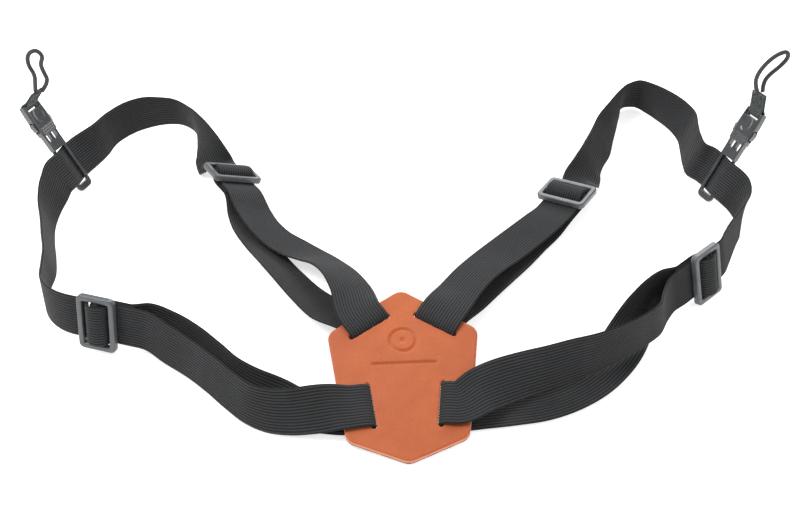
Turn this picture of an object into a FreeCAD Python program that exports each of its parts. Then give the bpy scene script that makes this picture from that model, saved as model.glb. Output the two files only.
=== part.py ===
import FreeCAD, Part
import math
import os

# A binocular harness lying loosely on a table: a leather yoke, two elastic shoulder loops with four
# strap adjusters, and two sliding side-release clips with a narrow lanyard loop each.
# Millimetres, +Z up, +Y away from the yoke's pointed end, +X to the right.

Vector = FreeCAD.Vector

# Elastic strap
STRAP_WIDTH = 25.0
STRAP_THICKNESS = 1.5

# Yoke, in its own plane: across, and along with the pointed end negative
YOKE_TOP_HALF_WIDTH = 41.5
YOKE_TOP_SHOULDER = 26.5
YOKE_TOP_POINT = 55.0
YOKE_BOTTOM_HALF_WIDTH = 31.5
YOKE_BOTTOM_SHOULDER = -38.0
YOKE_BOTTOM_POINT = -51.0
YOKE_CORNER_RADIUS = 7.0
LEATHER_THICKNESS = 2.6
LEATHER_EDGE_RADIUS = 0.9
BACKING_THICKNESS = 1.0
YOKE_CENTRE = Vector(2.6, -144.7, 9.4)
YOKE_TILT = 8.0
YOKE_TURN = 2.5
SLOT_LENGTH = 27.0
SLOT_WIDTH = 2.9
UPPER_SLOT_CENTRE = (17.9, 30.6)
UPPER_SLOT_SLOPE = 33.5
LOWER_SLOT_CENTRE = (18.6, -18.4)
LOWER_SLOT_SLOPE = 7.2

# Adjuster (tri-glide): along the strap, across it, and thick
FRAME_ALONG = 22.0
FRAME_ACROSS = 33.0
FRAME_THICKNESS = 4.0
FRAME_END_BAR = 3.2
FRAME_CENTRE_BAR = 3.6
FRAME_CENTRE_BAR_THICKNESS = 3.0
FRAME_SIDE_BAR = 3.3
FRAME_EDGE_RADIUS = 0.9
FRAME_CORNER_RADIUS = 3.0
BARTACK_ROWS = (10.6, 13.2)
BARTACK_LENGTH = 19.0
BARTACK_WIDTH = 1.2
WEAVE_REACH = 14.5
SPAN_GAP = 0.4
SPAN_LEAD = 2.2
LAYER_UNDER_FRAME = -3.1
REAR_LAYER_DEPTH = -6.7

# Side-release clip, along its axis from the middle of the strap
CLIP_LOOP_WIDTH = 13.0
CLIP_LOOP_BAR = 2.3
CLIP_LOOP_THICKNESS = 2.2
CLIP_SLOT_HALF_LENGTH = 13.3
CLIP_END_CAP = 4.6
BASE_LENGTH = 6.4
BASE_WIDTH = 12.0
BASE_THICKNESS = 5.0
PRONG_WIDTH = 2.0
PRONG_THICKNESS = 3.4
PRONG_LENGTH = 18.5
PRONG_OFFSET = 4.4
PRONG_SHOULDER = 2.0
TONGUE_WIDTH = 2.4
SOCKET_START = 24.5
SOCKET_END = 46.5
SOCKET_WIDTH = 15.0
SOCKET_THICKNESS = 6.4
SOCKET_CAVITY_END = 41.0
WINDOW_START = 28.0
WINDOW_END = 35.5
END_BAR_RADIUS = 1.2
END_BAR_PLACE = 45.1
CLIP_TURN = -12.0

# Webbing tab folded round the socket's end bar, and the lanyard loop sewn into it
TAB_WIDTH = 11.0
TAB_LAYER = 1.2
TAB_LENGTH = 14.5
TAB_END_GAP = 1.2
TAB_SWING = {"left": 68.0, "right": 32.0}
BOX_STITCH_SIDE = 7.0
BOX_STITCH_MIDDLE = 9.6
THREAD_WIDTH = 0.7
THREAD_HEIGHT = 0.35
LANYARD_DIAMETER = 2.6


def polar(lean, azimuth):
    """Unit vector that leans from vertical by lean degrees towards azimuth degrees."""
    lean, azimuth = math.radians(lean), math.radians(azimuth)
    flat = math.sin(lean)
    return Vector(flat * math.cos(azimuth), flat * math.sin(azimuth), math.cos(lean))


def heading(azimuth, rise=0.0):
    """Unit vector along azimuth degrees that climbs by rise degrees."""
    return polar(90.0 - rise, azimuth)


class Axes:
    """A local frame: origin, x along, y across and z out of the face."""

    def __init__(self, origin, along, across):
        self.origin = origin
        self.along = along.normalize()
        square = across - self.along * across.dot(self.along)
        self.across = square.normalize()
        self.out = self.along.cross(self.across)

    def point(self, x, y, z):
        return self.origin + self.along * x + self.across * y + self.out * z

    def matrix(self):
        a, b, c, o = self.along, self.across, self.out, self.origin
        return FreeCAD.Matrix(a.x, b.x, c.x, o.x, a.y, b.y, c.y, o.y, a.z, b.z, c.z, o.z, 0, 0, 0, 1)

    def place(self, shape):
        placed = shape.copy()
        placed.transformShape(self.matrix(), True)
        return placed


# ---------------------------------------------------------------- where things lie

YOKE = Axes(
    YOKE_CENTRE,
    Vector(math.cos(math.radians(YOKE_TURN)), math.sin(math.radians(YOKE_TURN)), 0),
    Vector(0, math.cos(math.radians(YOKE_TILT)), math.sin(math.radians(YOKE_TILT))),
)

# Adjusters: x runs along the strap towards the yoke and z out of the face the strap crosses.
ADJUSTERS = {
    "left_upper": Axes(Vector(-108.6, 16.6, 15.4), heading(-57.5, 8.0), polar(116.0, 27.0)),
    "left_lower": Axes(Vector(-166.0, -115.0, 17.2), heading(-15.0), polar(19.0, 75.0)),
    "right_upper": Axes(Vector(107.0, 2.0, 11.0), heading(-125.0), polar(79.0, -35.0)),
    "right_lower": Axes(Vector(177.0, -77.0, 17.2), heading(-140.0), polar(160.0, -50.0)),
}

# Clips: the strap's run through the clip, and the way the clip points.
CLIP_RUNS = {
    "left": Axes(Vector(-215.0, 23.0, 16.8), heading(-120.0), polar(30.0, 152.0)),
    "right": Axes(Vector(205.0, 12.5, 17.0), heading(-55.0), polar(28.0, 32.0)),
}

# A strap station is (x, y, height of its lowest edge, lean of its width, azimuth of the lean).
STRAP_ROUTES = {
    "left_upper_front": [
        (-92, -15, 5.0, 64, -152), (-84, -28, 4.0, 66, -138), (-75, -37, 2.5, 70, -130),
        (-65, -44, 2.0, 72, -130), (-54, -52, 2.0, 66, -128), (-44, -61, 4.0, 60, -130),
        (-35, -73, 8.0, 64, -136), (-28, -88, 12.6, 74, -142),
    ],
    "left_upper_rear": [
        (-97, -17, 1.0, 64, -150), (-92, -31, 0.6, 62, -142), (-84, -44, 0.6, 62, -138),
        (-75, -57, 0.6, 60, -140), (-65, -70, 0.6, 62, -142), (-54, -83, 1.0, 68, -144),
        (-42, -95, 4.0, 80, -146),
    ],
    "left_lower_front": [
        (-139, -119, 3.6, 20, 72), (-126, -127, 1.4, 22, 56), (-113, -136, 0.6, 20, 51),
        (-101, -146, 0.6, 20, 47), (-89, -157, 0.6, 21, 49), (-78, -166, 0.8, 22, 60),
        (-67, -170, 1.2, 30, 75), (-56, -171, 2.4, 38, 86), (-45, -170, 4.6, 50, 94),
        (-35, -168, 7.2, 68, 97),
    ],
    "left_lower_rear": [
        (-138, -112, 2.2, 20, 75), (-125, -117, 1.0, 22, 60), (-111, -126, 0.6, 20, 52),
        (-98, -138, 0.6, 22, 50), (-87, -149, 0.6, 26, 55), (-75, -157, 0.6, 40, 70),
        (-63, -161, 0.6, 62, 84), (-52, -163, 0.6, 80, 92), (-42, -164, 0.8, 86, 97),
    ],
    "right_upper_front": [
        (88, -23, 5.6, 84, -42), (76, -35, 5.6, 86, -43), (64, -47, 5.6, 86, -43),
        (53, -59, 6.5, 82, -43), (43, -72, 8.5, 80, -42), (34, -87, 11.5, 82, -38),
    ],
    "right_upper_rear": [
        (91, -21, 0.8, 87, -42), (80, -34, 0.6, 88, -43), (69, -48, 0.6, 88, -43),
        (58, -61, 0.6, 87, -43), (48, -73, 0.8, 86, -42), (39, -85, 2.6, 86, -39),
    ],
    "right_lower_front": [
        (155, -91, 3.0, 18, 135), (149, -100, 2.4, 14, 150), (144, -110, 3.0, 10, 150),
        (134, -119, 4.0, 9, 130), (120, -128, 4.4, 12, 125), (106, -135, 4.4, 18, 118),
        (92, -140, 4.6, 26, 110), (78, -145, 4.8, 32, 108), (65, -149, 5.2, 40, 104),
        (53, -153, 6.0, 52, 98), (43, -157, 7.6, 68, 92),
    ],
    "right_lower_rear": [
        (151, -85, 2.0, 18, 132), (141, -92, 0.8, 20, 140), (135, -101, 0.6, 38, 150),
        (128, -113, 0.6, 66, 150), (117, -128, 0.6, 84, 140), (104, -141, 0.6, 86, 126),
        (90, -150, 0.6, 86, 112), (75, -156, 0.6, 86, 100), (59, -159, 0.6, 86, 92),
        (45, -161, 0.8, 86, 86),
    ],
    "left_upper_loop": [
        (-124, 38, 3.4, 80, 20), (-131, 50, 2.0, 42, 8), (-138, 65, 0.6, 12, 10),
        (-146, 79, 0.6, 8, -140), (-157, 87, 0.6, 8, -113), (-168, 88, 0.6, 4, -100),
        (-179, 86, 0.6, 5, 120), (-189, 80, 0.6, 8, 142), (-198, 68, 1.0, 8, 155),
        (-203, 52, 2.6, 16, 155),
    ],
    "left_lower_loop": [
        (-218.8, 0, 6.6, 26, 152), (-219.8, -11, 3.9, 18, 158),
        (-219, -23, 1.6, 10, 168), (-215.5, -36, 0.7, 5, 178), (-211, -50, 0.6, 5, -164),
        (-207, -64, 0.6, 2, 180), (-206, -76, 0.6, 4, 3), (-204, -87, 1.0, 6, 19),
        (-198, -97, 2.0, 11, 42), (-190, -104, 3.4, 16, 60),
    ],
    "right_upper_loop": [
        (121, 22, 2.6, 66, 150), (126, 32, 0.8, 42, 155), (131, 43, 0.6, 36, 157),
        (137, 55, 0.6, 38, 160), (142, 68, 0.6, 32, 162), (149, 82, 0.6, 18, 162),
        (156, 96, 0.6, 5, 155), (163, 107, 0.6, 9, -60), (171, 109, 0.6, 5, -100),
        (179, 103, 0.6, 3, 26), (187, 94, 0.6, 10, 30), (194, 83, 0.8, 15, 17),
        (198, 70, 1.2, 19, 8), (196.5, 55, 2.0, 18, 10), (195, 41, 3.0, 20, 20),
        (196, 30, 3.6, 24, 28),
    ],
    "right_lower_loop": [
        (212, -8, 6.2, 22, 42), (213, -17.5, 3.0, 14, 62), (210.5, -27, 1.2, 10, 115),
        (205, -36, 0.8, 12, 150), (199.5, -45, 1.4, 16, 156), (195, -53, 2.6, 18, 148),
    ],
}

# Lanyard loops as (right, up, back) from the end of the tab, round and back to it.
LANYARD_ROUTES = {
    "left": [
        (-1.6, 0.0, 0.0), (0.2, 6.5, -0.8), (1.8, 13.0, -1.2), (-0.6, 19.5, -0.8), (0.8, 26.5, 0.0),
        (6.6, 29.5, 0.4), (9.6, 24.5, 0.8), (6.0, 18.5, 1.4), (6.6, 12.5, 1.6), (8.0, 6.0, 1.0),
        (2.4, 0.0, 0.0),
    ],
    "right": [
        (-1.7, 0.0, 0.0), (-4.6, 5.5, -0.4), (-5.2, 12.5, -0.8), (-2.4, 20.0, -0.8), (2.6, 26.0, -0.4),
        (8.4, 28.5, 0.0), (10.8, 23.8, 0.4), (7.4, 17.0, 0.8), (2.4, 11.0, 0.8), (0.6, 5.5, 0.4),
        (1.7, 0.0, 0.0),
    ],
}


# ---------------------------------------------------------------- strap shapes

def resting_station(x, y, lift, lean, azimuth):
    """Centre of the strap and the direction of its width, with its lowest edge at height lift."""
    across = polar(lean, azimuth)
    tilt = math.radians(lean)
    height = lift + STRAP_WIDTH / 2 * abs(math.cos(tilt)) + STRAP_THICKNESS / 2 * math.sin(tilt)
    return Vector(x, y, height), across


def routed(name):
    return [resting_station(*station) for station in STRAP_ROUTES[name]]


def smooth_curve(points, distances):
    """One smooth curve through the points, all four corners of a strap sharing the same distances."""
    curve = Part.BSplineCurve()
    curve.interpolate(Points=points, Parameters=distances)
    return curve


def face_between(curve, other):
    """Straight-ruled face between two curves that share their knots."""
    surface = Part.BSplineSurface()
    surface.buildFromPolesMultsKnots(
        [curve.getPoles(), other.getPoles()], [2, 2], curve.getMultiplicities(), [0.0, 1.0], curve.getKnots(),
        False, False, 1, curve.Degree,
    )
    return surface.toShape()


def ribbon(stations, width=STRAP_WIDTH, thickness=STRAP_THICKNESS):
    """A flat strap through its stations; each corner of the section is one smooth curve."""
    corners = [[], [], [], []]
    distances = [0.0]
    last = len(stations) - 1
    for index, (centre, across) in enumerate(stations):
        before = stations[max(index - 1, 0)][0]
        after = stations[min(index + 1, last)][0]
        tangent = (after - before).normalize()
        side = (across - tangent * across.dot(tangent)).normalize()
        normal = tangent.cross(side)
        if index:
            distances.append(distances[-1] + centre.distanceToPoint(stations[index - 1][0]))
        for corner, (p, q) in enumerate([(-1, -1), (1, -1), (1, 1), (-1, 1)]):
            corners[corner].append(centre + side * (p * width / 2) + normal * (q * thickness / 2))
    curves = [smooth_curve(points, distances) for points in corners]
    faces = [face_between(curves[i], curves[(i + 1) % 4]) for i in range(4)]
    for end in (0, last):
        loop = [corner[end] for corner in corners]
        faces.append(Part.Face(Part.makePolygon(loop + loop[:1])))
    shell = Part.Shell(faces)
    shell.sewShape()
    solid = Part.Solid(shell)
    if solid.Volume < 0:
        solid.reverse()
    return solid


def slot_axes(side, level):
    """Frame of a yoke slot: x away from the yoke's middle, y along the slot, z out of the leather."""
    if level == "upper":
        centre, lean = UPPER_SLOT_CENTRE, side * (90.0 - UPPER_SLOT_SLOPE)
    else:
        centre, lean = LOWER_SLOT_CENTRE, side * -LOWER_SLOT_SLOPE
    slope = math.radians(90.0 + lean)
    y_axis = (YOKE.along * math.cos(slope) + YOKE.across * math.sin(slope)) * side
    return Axes(YOKE.point(side * centre[0], centre[1], 0), y_axis.cross(YOKE.out), y_axis)


# Which way a strap's width points where it meets the adjuster's across axis or the slot's long axis.
ANCHOR_SENSE = {"left_upper": -1, "left_lower": 1, "right_upper": 1, "right_lower": -1}
LOOP_SENSE = {"left_upper": 1, "left_lower": 1, "right_upper": -1, "right_lower": -1}
SLOT_SENSE = {"left_upper": 1, "left_lower": -1, "right_upper": -1, "right_lower": 1}
SIDE = {"left": -1, "right": 1}

# The strap's turn through a yoke slot, as (distance out from the slot, height over the leather).
SLOT_TURN = [
    (8.0, 3.6), (3.4, 3.4), (1.1, 2.7), (-0.15, 1.3), (-0.35, 0.0),
    (-0.15, -1.3), (1.1, -2.7), (3.4, -3.5), (8.0, -4.1),
]

# The strap's run over an adjuster's centre bar, as (along, height), from the loop to the yoke.
WEAVE_HALF = [(14.5, -3.1), (11.6, -3.15), (8.6, -3.15), (6.6, -2.4), (5.4, 0.4), (4.2, 2.9), (2.2, 4.1)]
WEAVE_TOP = (0.0, 4.4)

# The sewn end, from its cut end round the centre bar to the layer that returns to the yoke.
SEWN_END = [
    (14.5, -4.9), (8.0, -4.85), (4.6, -3.9), (2.95, -1.8), (2.7, 0.5), (1.5, 2.2), (0.0, 2.6),
    (-1.5, 2.2), (-2.7, 0.5), (-2.75, -1.6), (-1.6, -4.0), (1.2, -6.0), (5.0, -6.7), (9.5, -6.7), (14.5, -6.7),
]

# The strap's run through a clip, as (along the clip's width, depth towards the inner face).
CLIP_CROSSING_HALF = [(12.0, 2.6), (8.4, 2.4), (5.4, 2.1), (2.4, 1.1)]


def local_ribbon(axes, path, sense):
    """Strap stations along a path drawn in a local frame's x and z."""
    across = axes.across * sense
    return [(axes.point(x, 0, z), across) for x, z in path]


def anchor_strap(name):
    """Front layer from the adjuster, through the slot, and the rear layer back."""
    side, level = name.split("_")
    adjuster = ADJUSTERS[name]
    slot = slot_axes(SIDE[side], level)
    width = adjuster.across * ANCHOR_SENSE[name]
    reaches = (WEAVE_REACH + SPAN_GAP, WEAVE_REACH + SPAN_GAP + SPAN_LEAD)
    stations = [(adjuster.point(x, 0, LAYER_UNDER_FRAME), width) for x in reaches]
    stations += routed(name + "_front")
    stations += local_ribbon(slot, SLOT_TURN, SLOT_SENSE[name])
    stations += reversed(routed(name + "_rear"))
    stations += [(adjuster.point(x, 0, REAR_LAYER_DEPTH), width) for x in reversed(reaches)]
    return ribbon(stations)


def clip_axes(side):
    """Frame of a clip: x across its width, y towards its free end, z out of one face."""
    run = CLIP_RUNS[side]
    inner = run.out * SIDE[side]
    turn = math.radians(CLIP_TURN)
    return Axes(run.origin, run.along * math.cos(turn) - inner * math.sin(turn), run.across)


def clip_crossing_path(side):
    near = [(x, z * SIDE[side]) for x, z in CLIP_CROSSING_HALF]
    far = [(-x, -z) for x, z in near]
    return far + [(0.0, 0.0)] + near[::-1]


def loop_strap(name):
    """The part of a shoulder loop between an adjuster and the clip."""
    side, level = name.split("_")
    adjuster = ADJUSTERS[name]
    clip = clip_axes(side)
    width = adjuster.across * LOOP_SENSE[name]
    reaches = (WEAVE_REACH + SPAN_GAP, WEAVE_REACH + SPAN_GAP + SPAN_LEAD)
    at_adjuster = [(adjuster.point(-x, 0, LAYER_UNDER_FRAME), width) for x in reaches]
    reach, depth = CLIP_CROSSING_HALF[0]
    hand = -1 if level == "upper" else 1
    x, z = hand * (reach + SPAN_GAP), hand * depth * SIDE[side]
    at_clip = [(clip.point(x, 0, z), clip.across), (clip.point(x + hand * SPAN_LEAD, 0, z), clip.across)]
    if level == "upper":
        return ribbon(at_adjuster + routed(name + "_loop") + at_clip[::-1])
    return ribbon(at_clip + routed(name + "_loop") + at_adjuster[::-1])


# ---------------------------------------------------------------- yoke

def yoke_outline():
    """The rounded six-sided outline as a wire in the yoke's plane."""
    corners = [
        Vector(0, YOKE_TOP_POINT, 0),
        Vector(YOKE_TOP_HALF_WIDTH, YOKE_TOP_SHOULDER, 0),
        Vector(YOKE_BOTTOM_HALF_WIDTH, YOKE_BOTTOM_SHOULDER, 0),
        Vector(0, YOKE_BOTTOM_POINT, 0),
        Vector(-YOKE_BOTTOM_HALF_WIDTH, YOKE_BOTTOM_SHOULDER, 0),
        Vector(-YOKE_TOP_HALF_WIDTH, YOKE_TOP_SHOULDER, 0),
    ]
    edges = []
    count = len(corners)
    starts, ends, middles = [], [], []
    for index, corner in enumerate(corners):
        back = (corners[index - 1] - corner).normalize()
        ahead = (corners[(index + 1) % count] - corner).normalize()
        half = back.getAngle(ahead) / 2
        reach = YOKE_CORNER_RADIUS / math.tan(half)
        inward = (back + ahead).normalize()
        starts.append(corner + back * reach)
        ends.append(corner + ahead * reach)
        middles.append(corner + inward * (YOKE_CORNER_RADIUS / math.sin(half) - YOKE_CORNER_RADIUS))
    for index in range(count):
        edges.append(Part.Arc(starts[index], middles[index], ends[index]).toShape())
        edges.append(Part.LineSegment(ends[index], starts[(index + 1) % count]).toShape())
    return Part.Wire(edges)


def slot_cutter(side, level):
    """A slot with round ends, tall enough to pass both layers of the yoke."""
    axes = slot_axes(side, level)
    straight = SLOT_LENGTH - SLOT_WIDTH
    height = 20.0
    block = Part.makeBox(SLOT_WIDTH, straight, height, Vector(-SLOT_WIDTH / 2, -straight / 2, -height / 2))
    cutter = block
    for end in (-1, 1):
        centre = Vector(0, end * straight / 2, -height / 2)
        cutter = cutter.fuse(Part.makeCylinder(SLOT_WIDTH / 2, height, centre))
    return axes.place(cutter.removeSplitter())


def yoke_plate(bottom, thickness):
    plate = Part.Face(yoke_outline()).extrude(Vector(0, 0, thickness))
    plate.translate(Vector(0, 0, bottom))
    return plate


def cut_slots(plate):
    for side in (-1, 1):
        for level in ("upper", "lower"):
            plate = plate.cut(slot_cutter(side, level))
    return plate


def leather_bottom():
    return (BACKING_THICKNESS - LEATHER_THICKNESS) / 2


def yoke_face():
    plate = yoke_plate(leather_bottom(), LEATHER_THICKNESS)
    top = leather_bottom() + LEATHER_THICKNESS
    rim = [edge for edge in plate.Edges if abs(edge.BoundBox.ZMin - top) < 0.01]
    plate = plate.makeFillet(LEATHER_EDGE_RADIUS, rim)
    return cut_slots(YOKE.place(plate))


def yoke_backing():
    plate = yoke_plate(leather_bottom() - BACKING_THICKNESS, BACKING_THICKNESS)
    return cut_slots(YOKE.place(plate))


# ---------------------------------------------------------------- adjusters

def centred_box(along, across, thick, centre=(0, 0, 0)):
    x, y, z = centre
    return Part.makeBox(along, across, thick, Vector(x - along / 2, y - across / 2, z - thick / 2))


def edges_along(solid, axis, length):
    """The edges that run the given length along X, Y or Z."""
    return [edge for edge in solid.Edges if getattr(edge.BoundBox, axis + "Length") > length - 0.1]


def adjuster_frame():
    """A moulded frame with two slots and a thinner, rounder centre bar."""
    frame = centred_box(FRAME_ALONG, FRAME_ACROSS, FRAME_THICKNESS)
    frame = frame.makeFillet(FRAME_CORNER_RADIUS, edges_along(frame, "Z", FRAME_THICKNESS))
    opening_along = FRAME_ALONG - 2 * FRAME_END_BAR
    opening_across = FRAME_ACROSS - 2 * FRAME_SIDE_BAR
    opening = centred_box(opening_along, opening_across, 2 * FRAME_THICKNESS)
    opening = opening.makeFillet(0.8, edges_along(opening, "Z", 2 * FRAME_THICKNESS))
    frame = frame.cut(opening)
    half = FRAME_THICKNESS / 2
    faces = [edge for edge in frame.Edges if abs(abs(edge.BoundBox.Center.z) - half) < 0.01]
    frame = frame.makeFillet(FRAME_EDGE_RADIUS, faces)
    bar = centred_box(FRAME_CENTRE_BAR, opening_across + 2.0, FRAME_CENTRE_BAR_THICKNESS)
    bar = bar.makeFillet(1.3, edges_along(bar, "Y", opening_across))
    return frame.fuse(bar).removeSplitter()


def adjuster(name):
    return ADJUSTERS[name].place(adjuster_frame())


def adjuster_weave(name):
    """The strap where it crosses over the centre bar."""
    path = [(-x, z) for x, z in WEAVE_HALF] + [WEAVE_TOP] + WEAVE_HALF[::-1]
    return ribbon(local_ribbon(ADJUSTERS[name], path, 1))


def adjuster_sewn_end(name):
    return ribbon(local_ribbon(ADJUSTERS[name], SEWN_END, 1))


def adjuster_bartack(name):
    """Two rows of thread across the sewn end, on its outer face."""
    level = REAR_LAYER_DEPTH - (STRAP_THICKNESS + THREAD_HEIGHT) / 2
    first, second = BARTACK_ROWS
    size = (BARTACK_WIDTH, BARTACK_LENGTH, THREAD_HEIGHT)
    rows = [centred_box(*size, (x, 0, level)) for x in BARTACK_ROWS]
    tie = centred_box(second - first, BARTACK_WIDTH, THREAD_HEIGHT, ((first + second) / 2, 0, level))
    return ADJUSTERS[name].place(rows[0].fuse(tie).fuse(rows[1]).removeSplitter())


# ---------------------------------------------------------------- clips

def clip_slider(side):
    """Long strap loop, the base of the prongs and the guide tongue."""
    top = CLIP_SLOT_HALF_LENGTH
    length = 2 * CLIP_SLOT_HALF_LENGTH + CLIP_END_CAP + 2.0
    middle = top + 2.0 - length / 2
    loop = centred_box(CLIP_LOOP_WIDTH, length, CLIP_LOOP_THICKNESS, (0, middle, 0))
    loop = loop.makeFillet(3.4, edges_along(loop, "Z", CLIP_LOOP_THICKNESS))
    opening = centred_box(CLIP_LOOP_WIDTH - 2 * CLIP_LOOP_BAR, 2 * CLIP_SLOT_HALF_LENGTH, 10.0)
    opening = opening.makeFillet(1.0, edges_along(opening, "Z", 10.0))
    loop = loop.cut(opening)
    half = CLIP_LOOP_THICKNESS / 2
    rims = [edge for edge in loop.Edges if abs(abs(edge.BoundBox.Center.z) - half) < 0.01]
    loop = loop.makeFillet(0.7, rims)
    base_middle = top + BASE_LENGTH / 2 + 0.2
    base = centred_box(BASE_WIDTH, BASE_LENGTH, BASE_THICKNESS, (0, base_middle, 0))
    base = base.makeFillet(1.1, edges_along(base, "Y", BASE_LENGTH))
    tongue_end = top + BASE_LENGTH + PRONG_LENGTH
    tongue_length = tongue_end - top - 1.0
    tongue = centred_box(TONGUE_WIDTH, tongue_length, 2.6, (0, tongue_end - tongue_length / 2, 0))
    return clip_axes(side).place(loop.fuse(base).fuse(tongue).removeSplitter())


def clip_prong(side, hand):
    """One springy prong with the shoulder that is squeezed to release the clip."""
    root = CLIP_SLOT_HALF_LENGTH + BASE_LENGTH + 0.2
    tip = root + PRONG_LENGTH
    inside, outside = PRONG_OFFSET, PRONG_OFFSET + PRONG_WIDTH
    bulge = outside + PRONG_SHOULDER
    outline = [
        (inside, root), (outside - 0.4, root), (outside, WINDOW_START + 0.3),
        (bulge - 0.5, WINDOW_START + 1.6), (bulge, WINDOW_END - 2.6),
        (bulge - 0.6, WINDOW_END - 0.7), (outside, WINDOW_END - 0.5),
        (outside, tip - 2.2), (outside - 1.3, tip), (inside, tip - 0.6), (inside, root),
    ]
    points = [Vector(hand * x, y, -PRONG_THICKNESS / 2) for x, y in outline]
    prong = Part.Face(Part.makePolygon(points)).extrude(Vector(0, 0, PRONG_THICKNESS))
    return clip_axes(side).place(prong)


def clip_socket(side):
    """Flat hollow body with a mouth for the prongs, a window each side and an end bar for the tab."""
    length = SOCKET_END - SOCKET_START
    middle = (SOCKET_END + SOCKET_START) / 2
    body = centred_box(SOCKET_WIDTH, length, SOCKET_THICKNESS, (0, middle, 0))
    body = body.makeFillet(1.9, edges_along(body, "Y", length))
    cavity_width = 2 * (PRONG_OFFSET + PRONG_WIDTH + 0.2)
    cavity_thickness = PRONG_THICKNESS + 0.5
    cavity_length = SOCKET_CAVITY_END - SOCKET_START + 1.0
    cavity_middle = SOCKET_CAVITY_END - cavity_length / 2
    cavity = centred_box(cavity_width, cavity_length, cavity_thickness, (0, cavity_middle, 0))
    window_length = WINDOW_END - WINDOW_START
    window_middle = (WINDOW_START + WINDOW_END) / 2
    windows = centred_box(2 * SOCKET_WIDTH, window_length, cavity_thickness, (0, window_middle, 0))
    slot_start = SOCKET_CAVITY_END + 1.1
    slot_width = TAB_WIDTH + 0.6
    slot_length = SOCKET_END - slot_start + 1.0
    slot = centred_box(slot_width, slot_length, 20.0, (0, slot_start + slot_length / 2, 0))
    bar_place = Vector(-slot_width / 2 - 1.0, END_BAR_PLACE, 0)
    bar = Part.makeCylinder(END_BAR_RADIUS, slot_width + 2.0, bar_place, Vector(1, 0, 0))
    body = body.cut(cavity).cut(windows).cut(slot).fuse(bar)
    return clip_axes(side).place(body.removeSplitter())


def tab_axes(side):
    """Frame of a tab: x along the end bar, y towards the tab's free end, z out of its inner face."""
    clip = clip_axes(side)
    inner = clip.out * SIDE[side]
    swing = math.radians(TAB_SWING[side])
    along = clip.along * SIDE[side]
    away = clip.across * math.cos(swing) + inner * math.sin(swing)
    return Axes(clip.point(0, END_BAR_PLACE, 0), along, away)


def tab(side):
    """Two layers of webbing that meet round the end bar."""
    hole_radius = END_BAR_RADIUS + 0.08
    bar_direction = Vector(1, 0, 0)
    ring_start = bar_direction * (-TAB_WIDTH / 2)
    ring = Part.makeCylinder(hole_radius + TAB_LAYER, TAB_WIDTH, ring_start, bar_direction)
    flat = centred_box(TAB_WIDTH, TAB_LENGTH, 2 * TAB_LAYER, (0, TAB_LENGTH / 2, 0))
    hole = Part.makeCylinder(hole_radius, 2 * TAB_WIDTH, ring_start * 2, bar_direction)
    return tab_axes(side).place(ring.fuse(flat).cut(hole).removeSplitter())


def tab_stitching(side):
    """A box and cross of raised thread on the tab's inner face."""
    level = TAB_LAYER + THREAD_HEIGHT / 2
    reach = (BOX_STITCH_SIDE - THREAD_WIDTH) / 2
    middle = BOX_STITCH_MIDDLE
    pieces = []
    for end in (-reach, reach):
        pieces.append(centred_box(BOX_STITCH_SIDE, THREAD_WIDTH, THREAD_HEIGHT, (0, middle + end, level)))
        pieces.append(centred_box(THREAD_WIDTH, BOX_STITCH_SIDE, THREAD_HEIGHT, (end, middle, level)))
    for turn in (45.0, -45.0):
        diagonal = centred_box(2 * reach * math.sqrt(2), THREAD_WIDTH, THREAD_HEIGHT, (0, 0, level))
        diagonal.rotate(Vector(0, 0, 0), Vector(0, 0, 1), turn)
        diagonal.translate(Vector(0, middle, 0))
        pieces.append(diagonal)
    return tab_axes(side).place(pieces[0].multiFuse(pieces[1:]).removeSplitter())


# ---------------------------------------------------------------- lanyards

def cord(points, diameter, label):
    """A tube of straight runs joined by the largest arcs that the runs allow."""
    edges, radii = [], []
    start = points[0]
    for index in range(1, len(points) - 1):
        corner = points[index]
        back, ahead = points[index - 1] - corner, points[index + 1] - corner
        run = min(back.Length, ahead.Length)
        half_turn = (math.pi - back.getAngle(ahead)) / 2
        radius = 0.45 * run / math.tan(half_turn)
        reach = 0.45 * run
        back, ahead = back.normalize(), ahead.normalize()
        arc_start, arc_end = corner + back * reach, corner + ahead * reach
        inward = (back + ahead).normalize()
        middle = corner + inward * (radius / math.cos(half_turn) - radius)
        edges.append(Part.LineSegment(start, arc_start).toShape())
        edges.append(Part.Arc(arc_start, middle, arc_end).toShape())
        start = arc_end
        radii.append(radius)
    edges.append(Part.LineSegment(start, points[-1]).toShape())
    path = Part.Wire(edges)
    section = Part.Wire([Part.Circle(points[0], points[1] - points[0], diameter / 2).toShape()])
    tube = path.makePipeShell([section], True, True, 1)
    expected = math.pi * diameter ** 2 / 4 * path.Length
    print(label, "length %.1f" % path.Length, "radii", ["%.1f" % r for r in radii],
          "volume over section times length %.3f" % (tube.Volume / expected))
    return tube


def lanyard(side):
    end = tab_axes(side).point(0, TAB_LENGTH + TAB_END_GAP, 0)
    points = [end + Vector(right, back, up) for right, up, back in LANYARD_ROUTES[side]]
    return cord(points, LANYARD_DIAMETER, side + "_lanyard")


# ---------------------------------------------------------------- all nodes

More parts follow.
